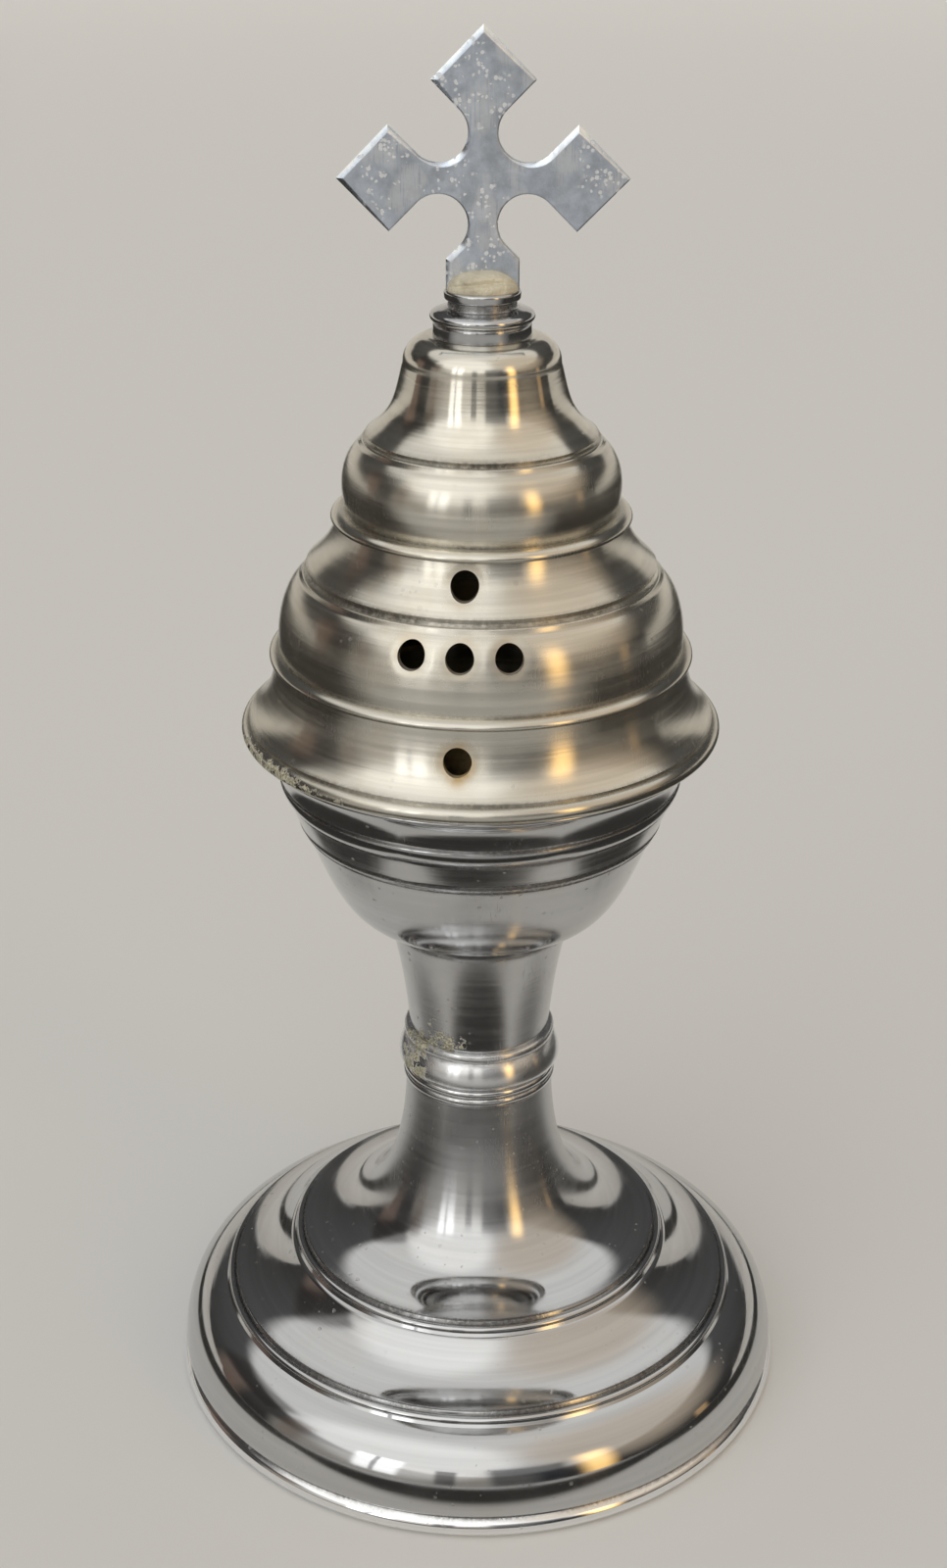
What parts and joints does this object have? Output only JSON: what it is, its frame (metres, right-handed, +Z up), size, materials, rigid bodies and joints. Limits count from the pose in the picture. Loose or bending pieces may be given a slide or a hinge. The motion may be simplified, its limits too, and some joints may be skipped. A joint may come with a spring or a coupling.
{
  "type": "hand censer",
  "caption": "Free-standing incense burner: a spun stepped foot and short stem carry a bowl with a loose charcoal cup, under a lift-off pierced stepped lid topped by a cross.",
  "frame": {"origin": "centre of the ring that the foot stands on", "axes": "+Z up along the turned axis, -Y towards the viewer facing the flat of the cross, +X to the viewer's right"},
  "size_m": [0.12, 0.12, 0.2566],
  "materials": {
    "plated_stand": "polished nickel plate on brass, light dust and scuffs",
    "plated_lid": "worn warm nickel plate with fine turning lines and tarnish round the holes",
    "plated_cross": "flat nickel-plated plate, fine scratches and bright cut edges",
    "zinc_hardware": "dull zinc-plated steel",
    "raw_brass": "unplated brass darkened by charcoal",
    "tin_solder": "matte soft solder"
  },
  "bodies": {
    "root": {"foot_shell": "plated_stand", "foot_washer": "zinc_hardware", "foot_nut": "zinc_hardware", "tie_rod": "zinc_hardware", "neck_collar": "plated_stand", "knop_ring": "plated_stand", "stem_socket": "plated_stand", "bowl": "plated_stand", "bowl_washer": "zinc_hardware", "bowl_nut": "zinc_hardware"},
    "cup": {"charcoal_cup": "raw_brass"},
    "lid": {"lid_shell": "plated_lid", "lid_spigot": "plated_lid", "finial": "plated_stand", "finial_stud": "zinc_hardware", "finial_washer": "zinc_hardware", "finial_nut": "zinc_hardware", "cross_plate": "plated_cross", "solder_front": "tin_solder", "solder_back": "tin_solder"}
  },
  "joints": [
    {"name": "lid_lift", "type": "slide", "parent": "root", "child": "lid", "axis": [0, 0, 1], "range_m": [0, 0.16]},
    {"name": "cup_lift", "type": "slide", "parent": "root", "child": "cup", "axis": [0, 0, 1], "range_m": [0, 0.064]}
  ],
  "couplings": [
    {"joint": "cup_lift", "follows": "lid_lift", "ratio": 0.4}
  ]
}
